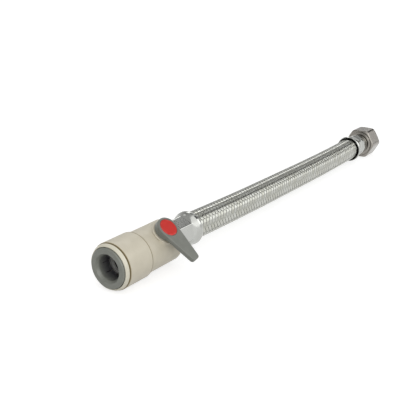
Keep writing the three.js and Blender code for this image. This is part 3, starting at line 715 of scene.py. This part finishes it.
def swivel_nut():
    """Rows over the outside, then back through the thread and the room for the flange to the ring. The
    thread's depth is a triangle wave of x / pitch less the share of a turn, with its crests cut off."""
    back, front, pitch = 1.2, 17.1, 1.814
    turn = crowded_turns(24)

    def outside(x):
        x = x[:, None]
        cone = 11.7 + 2.05 * np.minimum(x - back, front - x)
        return soft_minimum([flats_of(turn, 12.0, -np.pi / 2, 0.8), cone + 0 * turn], 0.07)

    def thread(x):
        wave = np.abs(((x[:, None] / pitch - turn / (2 * np.pi)) % 1) * 2 - 1)
        cut = 9.45 + 0.95 * np.clip(wave * 1.3 - 0.15, 0, 1)
        cut = np.where(x[:, None] < 7.6, 10.3, cut)
        return np.maximum(cut, 10.6 - (front - x[:, None]))

    end = np.linspace(0, 1.9, 16)
    along = np.concatenate([back + end, np.linspace(3.6, front - 2.4, 12), front - end[::-1]])
    inner = np.linspace(front, 5.0, 76)
    full = np.ones_like(turn)
    rows = [(along, outside(along)), (np.array([front]), 11.1 * full), (inner, thread(inner)),
            (np.array([3.9, 3.85, 3.8]), np.array([[10.2], [8.5], [7.15]]) * full),
            (np.array([1.25, 1.2, 1.2, 1.25, 1.65, 1.65, 1.25, 1.2]),
             np.array([[7.1], [7.2], [10.25], [10.3], [10.35], [10.85], [10.9], [10.95]]) * full)]
    x = np.concatenate([row[0] for row in rows])
    out = np.concatenate([row[1] for row in rows])
    points = about_x(NUT_FERRULE + x[:, None], out, turn, NUT_DROP)
    return make("threaded_swivel_nut", points, quads_of(len(x), turn.size, True, True), sharp=55)


nut = ride(swivel_nut(), "nut", "nickel_plate", NICKEL, "swivel_nut")

# %% [markdown]
# The nut turns on a nickel-plated tail. What shows of it in the nut's mouth is the flange, and the
# spigot that centres the black washer. The rest is the barbed stem inside the hose.


# %% Tail and washer
def barbs(start, length, floor, rise, count):
    """Corners of a row of barbs: each climbs slowly and drops at once."""
    pitch = (length - start - 1) / count
    corners = []
    for i in range(count):
        corners += [(start + i * pitch, floor, 0), (start + (i + 0.8) * pitch, floor + rise, 0.03)]
    end = start + count * pitch
    return corners + [(end, floor, 0), (length, floor - 0.4, 0.1), (length, 4.2, 0.1)]


tail = turned("nickel_tail", [(-x, r, q) for x, r, q in barbs(1.4, CRIMP + 4, 4.93, 0.2, 3)][::-1] + [
    (-0.8, 4.93, 0), (-0.8, 6.6, 0.1), (0.3, 6.6, 0), (0.3, 6.8, 0), (4.1, 6.8, 0), (4.1, 9.2, 0.2),
    (6.1, 9.2, 0.2), (6.1, 6.1, 0.1), (9.5, 6.1, 0.25), (9.5, 4.8, 0.15), (6.1, 4.2, 0.3),
], drop=NUT_DROP, start=NUT_FERRULE)
ride(tail, FIXED, "nickel_plate", NICKEL, "nut_tail")
washer = turned("rubber_washer", [
    (6.4, 6.4, 0.3), (6.4, 9.2, 0.3), (8.4, 9.2, 0.3), (8.4, 6.4, 0.3),
], drop=NUT_DROP, start=NUT_FERRULE)
ride(washer, "nut", "black_rubber", RUBBER, "nut_washer")

# %% [markdown]
# ## The push-fit socket
# A pipe is pushed through the grey collet into the ivory socket. The collet is one moulding: a flange
# to press on, a sleeve, and eight fingers with steel teeth that bite the pipe. A finger is a profile
# carried round only part of a turn, so it is a short piece of a ring with flat ends.


# %% Collet
COLLET_BORE, SLEEVE_OUT, FINGER_OUT = 7.6, 9.7, 10.6
FINGER_ROOT, FINGER_TIP, BITE = 5.2, 10.55, 9.47
FINGER_HALF, TOOTH_HALF = math.radians(21), math.radians(10.6)


def eight_of(outline, half, steps):
    """The outline carried round from -half to half about each of eight middles, as points, faces and
    end caps."""
    rows = len(outline)
    middles = np.pi / 8 + np.arange(8) * np.pi / 4
    turn = middles[:, None, None] + np.linspace(-half, half, steps)
    points = about_x(outline[:, :1], outline[:, 1:], turn).reshape(-1, 3)
    index = np.arange(rows * steps).reshape(rows, steps)
    shifts = np.arange(8) * rows * steps
    faces = np.concatenate([quads_of(rows, steps, True, False) + shift for shift in shifts])
    caps = [cap + shift for shift in shifts for cap in (index[:, 0], index[::-1, -1])]
    return points, faces, caps


def collet():
    """The flange and sleeve, turned, with the eight fingers added to the same mesh."""
    outline = rounded([
        (0, 8.75, 0.3), (0, 12.1, 0.9), (2.6, 12.1, 0.2), (2.6, SLEEVE_OUT, 0.2),
        (5.25, SLEEVE_OUT, 0), (5.25, COLLET_BORE, 0), (1.9, COLLET_BORE, 1.5),
    ])
    finger = rounded([
        (FINGER_ROOT, COLLET_BORE, 0), (FINGER_ROOT, SLEEVE_OUT, 0), (7.5, SLEEVE_OUT, 0.2),
        (9.9, FINGER_OUT, 0.2), (FINGER_TIP, FINGER_OUT, 0.2), (FINGER_TIP, COLLET_BORE, 0.15),
        (10.05, COLLET_BORE, 0.05), (10.05, 8.2, 0), (8.9, 8.2, 0), (8.9, COLLET_BORE, 0.05),
    ])
    ring = about_x(outline[:, :1], outline[:, 1:], full_turn()[None]).reshape(-1, 3)
    points, faces, caps = eight_of(finger, FINGER_HALF, 9)
    shift = len(ring)
    all_points = np.concatenate([ring, points])
    all_faces = np.concatenate([quads_of(len(outline), SIDES, True, True), faces + shift])
    return make("release_collet_moulding", all_points, all_faces, [cap + shift for cap in caps])


ride(collet(), "collet", "grey_plastic", BORE_GREY, "release_collet")

# %% [markdown]
# The teeth are stamped from spring steel. Each follows the curve of its finger, and its inner edge is
# ground to a wedge that bites into the pipe.


# %% Teeth
def teeth():
    """Each tooth is a wedge outline carried round 21 degrees of the bore."""
    tooth = rounded([
        (BITE - 0.25, 9.3, 0.05), (BITE + 0.25, 9.3, 0.05), (BITE + 0.25, 7.75, 0.04),
        (BITE - 0.12, 7.36, 0.04), (BITE - 0.25, 7.5, 0.03),
    ])
    return make("collet_teeth", *eight_of(tooth, TOOTH_HALF, 7))


tooth_nodes = [f"collet_tooth_{i + 1}" for i in range(8)]
ride(teeth(), "collet", "polished_steel", STEEL_PLAIN, *tooth_nodes)

# %% [markdown]
# The cap ring closes the socket with a thin sloping nose, and behind it a fine dark groove shows where
# it meets the housing; brown painted shade deepens it. The housing is the widest ring. Its far edge
# stands a little proud of the body, and a brown line of painted shade runs along it.

# %% Cap ring and housing
cap_ring = turned("cap_ring_moulding", [
    (1.1, 12.4, 0.1), (1.1, 12.78, 0.15), (2.95, 13.8, 0.35), (3.25, 13.8, 0.12),
    (3.25, 13.3, 0.05), (3.86, 13.3, 0.05), (3.86, 12.4, 0.05), (10.55, 12.4, 0.3),
    (10.55, 11.2, 0.1), (7.5, 10.0, 0.1), (5.0, 10.0, 0.1), (5.0, 12.38, 0.05),
])
ride(cap_ring, FIXED, "beige_plastic", NOSE, "cap_ring")
housing = turned("socket_housing_moulding", [
    (3.9, 12.7, 0.05), (3.9, 14.2, 0.45), (23.2, 14.2, 0.4), (23.2, 12.7, 0.05),
], sides=128)
ride(housing, FIXED, "beige_plastic", HOUSING, "socket_housing")
SEAL_FROM, SEAL_TO, SEAL_ROUND = 14.65, 17.54, 1.44
seal = turned("pipe_ring_seal", [
    (SEAL_FROM, 8.2, SEAL_ROUND), (SEAL_FROM, 11.09, SEAL_ROUND), (SEAL_TO, 11.09, SEAL_ROUND),
    (SEAL_TO, 8.2, SEAL_ROUND),
])
ride(seal, FIXED, "black_rubber", RUBBER, "pipe_seal")
spacer = turned("spacer_ring", [
    (12.95, 7.8, 0.1), (12.95, 10.7, 0.1), (14.15, 10.7, 0.1), (14.15, 7.8, 0.1),
])
ride(spacer, FIXED, "white_plastic", WHITE, "spacer_washer")

# %% [markdown]
# ## The valve body
# The body is one moulding with the socket's inner wall, the stop for the pipe, the room for the ball
# and the boss that carries the lever. The boss is a short round post whose foot meets a cylinder, so
# each point of its foot lies at a height of its own: the root of the body's radius squared less the
# sideways distance squared.

# %% The lever's own frame
STEM_X, ROLL = 39.6, math.radians(40.2)
STEM_UP = np.array([0, -math.sin(ROLL), math.cos(ROLL)])
STEM_SIDE = np.array([0, -math.cos(ROLL), -math.sin(ROLL)])
STEM_ON = np.array([-1.0, 0, 0])


def on_stem(points, turn=0.0):
    """Points of the stem's frame on the part: x towards the socket, z up the stem, after a turn of the
    lever about z."""
    points = np.asarray(points, float)
    x = points[..., 0] * math.cos(turn) - points[..., 1] * math.sin(turn)
    y = points[..., 0] * math.sin(turn) + points[..., 1] * math.cos(turn)
    return (np.array([STEM_X, 0, 0]) + x[..., None] * STEM_ON + y[..., None] * STEM_SIDE
            + points[..., 2:] * STEM_UP)


def about_stem(out, up, turn):
    """Points of the stem's frame at distance out and height up, turn round it."""
    out, up, turn = np.broadcast_arrays(out, up, turn)
    return np.stack([out * np.cos(turn), out * np.sin(turn), up], -1)


# %% Body and boss
BODY_OUT, BOSS_WALL, BOSS_LIP, LIP_UP, BOSS_TOP, BOSS_BORE = 13.15, 6.9, 7.6, 13.6, 14.4, 4.3
body = turned("valve_body_moulding", [
    (10.85, 11.0, 0.1), (10.85, 12.4, 0.1), (23.7, 12.4, 0), (23.7, BODY_OUT, 0.12),
    (53.4, BODY_OUT, 2.2), (53.4, 9.2, 0.1), (31.0, 9.2, 0.1), (31.0, 5.0, 0.1), (27.8, 5.0, 0.15),
    (27.8, 7.75, 0.1), (17.55, 7.75, 0.1), (17.55, 11.0, 0.1),
], sides=128)


def boss():
    """A ring about the stem. Its foot is spread by a small fillet: the wall's foot and a ring 1 mm
    further out both lie on the cylinder, and a curve that leans on the corner between them joins the
    two. A lip stands out from the wall at the top."""
    turn = full_turn(120)[None]
    full = np.ones_like(turn)

    def on_body(out):
        return np.sqrt(BODY_OUT**2 - (out * np.sin(turn)) ** 2)

    spread, edge_round = 1.0, 0.25
    wide_out = BOSS_WALL + spread
    wide_up = on_body(wide_out) - 0.02
    corner = on_body(BOSS_WALL)
    wall_up = np.minimum(corner + spread, LIP_UP - 0.1)
    share = np.linspace(0, 1, 7)[:, None]
    ease = [(1 - share) ** 2, 2 * share * (1 - share), share**2]
    edge = np.linspace(0, np.pi / 2, 5)[:, None]
    rows = [
        (BOSS_BORE, 9.0), (wide_out - 0.6, wide_up - 1.2),
        (ease[0] * wide_out + (ease[1] + ease[2]) * BOSS_WALL,
         ease[0] * wide_up + ease[1] * corner + ease[2] * wall_up),
        (BOSS_WALL, LIP_UP), (BOSS_LIP - 0.1, LIP_UP), (BOSS_LIP, LIP_UP + 0.1),
        (BOSS_LIP - edge_round * (1 - np.cos(edge)), BOSS_TOP - edge_round * (1 - np.sin(edge))),
        (BOSS_BORE + 0.2, BOSS_TOP), (BOSS_BORE, BOSS_TOP - 0.2), (BOSS_BORE, 9.5),
    ]
    out = np.concatenate([r * full for r, _ in rows])
    up = np.concatenate([u * full for _, u in rows])
    points = on_stem(about_stem(out, up, turn))
    return make("stem_boss", points, quads_of(len(out), turn.size, True, True))


ride(body, FIXED, "beige_plastic", IVORY, "valve_body")
ride(boss(), FIXED, "beige_plastic", IVORY)

# %% [markdown]
# ## The lever
# Seen from above the lever is a round head and an arm that narrows to a tip with two round corners. Its
# skin goes round that outline: out of the disc's recess, across the flat top, over the rounded edge,
# down the side and back under. All rows use the same outline, drawn in by a little for the edges.

# %% Lever
LEVER_TURN = math.radians(95)
HEAD, ARM, TIP_HALF, TIP_ROUND, LEVER_TOP, LEVER_THICK = 7.05, 24.4, 3.2, 2.0, 19.5, 2.8


def lever_outline(inset):
    """Arcs for the head and the tip's corners, joined by their common tangents. Drawing the outline in
    makes each arc's radius smaller by the inset."""
    tip = np.array([ARM - TIP_ROUND, TIP_HALF - TIP_ROUND])
    tangent = math.atan2(tip[1], tip[0]) + math.acos((HEAD - TIP_ROUND) / np.hypot(*tip))
    arcs = [
        ((0, 0), HEAD, tangent, 2 * np.pi - tangent, 72), (tip * [1, -1], TIP_ROUND, -tangent, 0, 10),
        (tip, TIP_ROUND, 0, tangent, 10),
    ]
    runs = []
    for centre, radius, start, end, count in arcs:
        turn = np.linspace(start, end, count)
        runs.append(np.array(centre) + (radius - inset) * np.stack([np.cos(turn), np.sin(turn)], -1))
    sides = []
    for i, run in enumerate(runs):
        after = runs[(i + 1) % 3][0]
        share = np.linspace(0, 1, 14)[1:-1, None]
        sides += [run, run[-1] * (1 - share) + after * share]
    return np.concatenate(sides)


def lever():
    """Rows of the lever's skin, each an outline at a height."""
    edge, under = 0.45, 0.3
    full = lever_outline(0)
    turn = np.arctan2(full[:, 1], full[:, 0])
    recess = np.stack([np.cos(turn), np.sin(turn)], -1)
    top, bottom = LEVER_TOP, LEVER_TOP - LEVER_THICK
    over = np.linspace(0, np.pi / 2, 6)
    rim = lever_outline(edge)
    rows = [(5.75 * recess, top - 1.0), (5.75 * recess, top - 0.12), (5.87 * recess, top)]
    rows += [(5.92 * recess * (1 - s) + rim * s, top) for s in (0.0, 0.3, 0.6, 0.9, 0.98)]
    rows += [(lever_outline(edge * (1 - np.sin(a))), top - edge * (1 - np.cos(a))) for a in over]
    rows += [(full, bottom + under), (lever_outline(under * 0.3), bottom + under * 0.3)]
    rows += [(lever_outline(inset), bottom) for inset in (under, under + 0.4)]
    rows += [(6.0 * recess, bottom)]
    points = np.stack([np.column_stack([xy, np.full(len(xy), up)]) for xy, up in rows])
    points = on_stem(points, LEVER_TURN)
    return make("lever_arm", points, quads_of(len(rows), len(full), True, True), sharp=60)


def upright(name, corners):
    """A piece turned about the stem from a closed outline of (up, out, radius) corners."""
    outline = rounded(corners)
    points = on_stem(about_stem(outline[:, 1:], outline[:, :1], full_turn()[None]), LEVER_TURN)
    return make(name, points, quads_of(len(outline), SIDES, True, True), merge=True)


skirt = upright("lever_skirt", [
    (14.7, 3.95, 0.1), (14.7, 6.3, 0.1), (15.6, 6.3, 0.05), (15.6, HEAD, 0.15), (16.95, HEAD, 0),
    (16.95, 6.75, 0), (18.5, 6.75, 0), (18.5, 2.8, 0.1), (17.6, 2.8, 0), (17.6, 1.2, 0),
    (16.8, 1.2, 0), (16.8, 3.95, 0),
])
ride(lever(), "handle", "grey_plastic", GREY, "lever")
ride(skirt, "handle", "grey_plastic", GREY)
disc = upright("colour_disc_cap", [
    (18.8, 0, 0), (18.8, 5.55, 0.05), (19.36, 5.55, 0.18), (19.5, 5.1, 0.4), (19.5, 0, 0),
])
ride(disc, "handle", "red_plastic", RED, "colour_disc")

# %% [markdown]
# ## Inside the valve
# The ball shows at the bottom of the socket. It is a bead: a circle's arc from one rim of its bore to
# the other, closed by the bore and turned about it.


# %% Ball
BALL, BALL_BORE = 8.5, 5.0


def bead():
    """The outline is the ball's arc between the two rims of the bore, and the bore back again."""
    rim = math.acos(BALL_BORE / BALL)
    lean = np.linspace(-rim, rim, 33)
    arc = BALL * np.stack([np.sin(lean), np.cos(lean)], -1)
    bore = np.stack([np.linspace(arc[-1, 0], arc[0, 0], 8)[1:-1], np.full(6, BALL_BORE)], -1)
    outline = np.concatenate([arc, bore])
    turn = full_turn()[None]
    along, out = outline[:, :1] + 0 * turn, outline[:, 1:]
    points = np.stack([along, out * np.cos(turn), out * np.sin(turn)], -1)
    return make("ball_bead", on_stem(points, LEVER_TURN), quads_of(len(outline), SIDES, True, True))


ride(bead(), "handle", "chromed_brass", CHROME, "ball")

# %% [markdown]
# The seats, stem, seals, screw and tail are inside, and their solids are already right, so they stay
# and only get their finish.

# %% Finishes of the solids that stay
by_slot = {
    "white_plastic": WHITE, "black_rubber": RUBBER, "brass": BRASS, "polished_steel": STEEL,
    "beige_plastic": IVORY, "grey_plastic": GREY, "red_plastic": RED, "chromed_brass": CHROME,
    "nickel_plate": NICKEL, "steel_braid": BRAID,
}
for entry in frame["record"]["subparts"]:
    solid = frame["nodes"][entry["node"]]
    solid.data.materials.clear()
    solid.data.materials.append(by_slot[entry["material_slot"]])
stay = [name for name, node in frame["nodes"].items() if not node.hide_render]
print("solids that show:", ", ".join(sorted(stay)))

# %% [markdown]

# %% [markdown]
# ## Floor, light and what the metal sees
# The part lies on a white ground in soft light. The floor is a pale matt grey that also gives off a
# little light towards the camera and towards mirrors, which makes it white and keeps the shadow. The
# world is white to the camera, plain for matt things, and for metal it has what a studio has: a bright
# panel in front, a dark gap overhead, and a second panel behind.


# %% Floor
GROUND, GLOW = 0.52, 0.69


def seen_directly(tree, strength):
    """The strength where a camera, glossy or transmission ray asks, and 0 for all other rays."""
    rays = tree.nodes.new("ShaderNodeLightPath").outputs
    total = rays["Is Camera Ray"]
    for other in ("Is Glossy Ray", "Is Transmission Ray"):
        total = calculated(tree, "ADD", total, rays[other], clamp=True)
    return calculated(tree, "MULTIPLY", total, strength)


def floor():
    mesh = bpy.data.meshes.new("floor")
    mesh.from_pydata([(-6, -6, 0), (6, -6, 0), (6, 6, 0), (-6, 6, 0)], [], [(0, 1, 2, 3)])
    material, tree, shader = new_finish("pale_floor")
    shader.inputs["Base Color"].default_value = (*[GROUND] * 3, 1)
    shader.inputs["Roughness"].default_value = 0.9
    shader.inputs["Specular IOR Level"].default_value = 0.1
    shader.inputs["Emission Color"].default_value = (1, 1, 1, 1)
    tree.links.new(seen_directly(tree, GLOW), shader.inputs["Emission Strength"])
    mesh.materials.append(material)
    placed("floor", mesh)


floor()


# %% World
SIDE_LEVELS = [
    (0, 1.2), (12, 1.3), (20, 1.8), (40, 1.8), (52, 1.5), (80, 1.4), (90, 0.6), (128, 0.4),
    (150, 0.6), (180, 0.9),
]
NEAR_LEVELS = [
    (0, 0.9), (18, 0.9), (25, 2.4), (53, 2.4), (59, 0.05), (79, 0.05), (86, 1.1), (91, 0.9), (95, 0.34),
    (115, 0.34), (118, 2.5), (132, 2.5), (137, 0.4), (150, 0.5), (180, 0.8),
]
FAR_LEVELS = [
    (0, 0.9), (14, 0.6), (38, 0.6), (42, 0.03), (104, 0.03), (112, 1.0), (126, 1.0), (132, 0.4),
    (150, 0.5), (180, 0.8),
]
BRIGHTEST, PLAIN = 2.5, 0.7
TO_NEAR, TO_FAR = (0.42, 0.52), (0.875, 0.885)


def world():
    """For metal, the brightness goes by the angle round the hose's direction: 0 is level in front, 90
    is overhead, and 180 is level behind. There are three runs of values, and the ray's share along the
    hose says which one it meets: beside the part, further along, or past the nut's end."""
    sky = bpy.data.worlds.new("studio")
    bpy.context.scene.world = sky
    sky.use_nodes = True
    tree = sky.node_tree
    tree.nodes.clear()
    parts = parts_of(tree, "Generated")
    forward = calculated(tree, "MULTIPLY", parts["Y"], -1)
    angle = calculated(tree, "ARCTAN2", parts["Z"], forward)
    share = calculated(tree, "DIVIDE", angle, math.pi)

    def run_of(levels):
        stops = [(degrees / 180, (*[level / BRIGHTEST] * 3, 1)) for degrees, level in levels]
        return ramp_of(tree, share, stops)

    colour = run_of(SIDE_LEVELS)
    for levels, span in ((NEAR_LEVELS, TO_NEAR), (FAR_LEVELS, TO_FAR)):
        colour = mixed(tree, map_range(tree, parts["X"], *span), colour, run_of(levels))

    def background(light, strength):
        node = tree.nodes.new("ShaderNodeBackground")
        feed(tree, node.inputs["Color"], light)
        node.inputs["Strength"].default_value = strength
        return node.outputs[0]

    white = (1, 1, 1, 1)
    rays = tree.nodes.new("ShaderNodeLightPath").outputs
    shown = background(white, PLAIN)
    for ray, seen in (
        ("Is Glossy Ray", background(colour, BRIGHTEST)), ("Is Camera Ray", background(white, 1.0)),
    ):
        mix = tree.nodes.new("ShaderNodeMixShader")
        tree.links.new(rays[ray], mix.inputs["Fac"])
        tree.links.new(shown, mix.inputs[1])
        tree.links.new(seen, mix.inputs[2])
        shown = mix.outputs[0]
    out = tree.nodes.new("ShaderNodeOutputWorld")
    tree.links.new(shown, out.inputs["Surface"])


world()


# %% Lamps
def lamp(name, place, target, size, energy):
    """A square soft lamp at a place, looking at a target, both in metres."""
    data = bpy.data.lights.new(name, "AREA")
    data.shape, data.size, data.energy = "SQUARE", size, energy
    light = placed(name, data)
    light.location = place
    away = np.array(place) - np.array(target)
    across = math.hypot(away[0], away[1])
    light.rotation_euler = (math.atan2(across, away[2]), 0, math.atan2(away[0], -away[1]))


lamp("key", (-0.7, -1.05, 0.6), (0, 0, 0), 0.9, 5.8)
bpy.context.scene.view_settings.view_transform = "Standard"
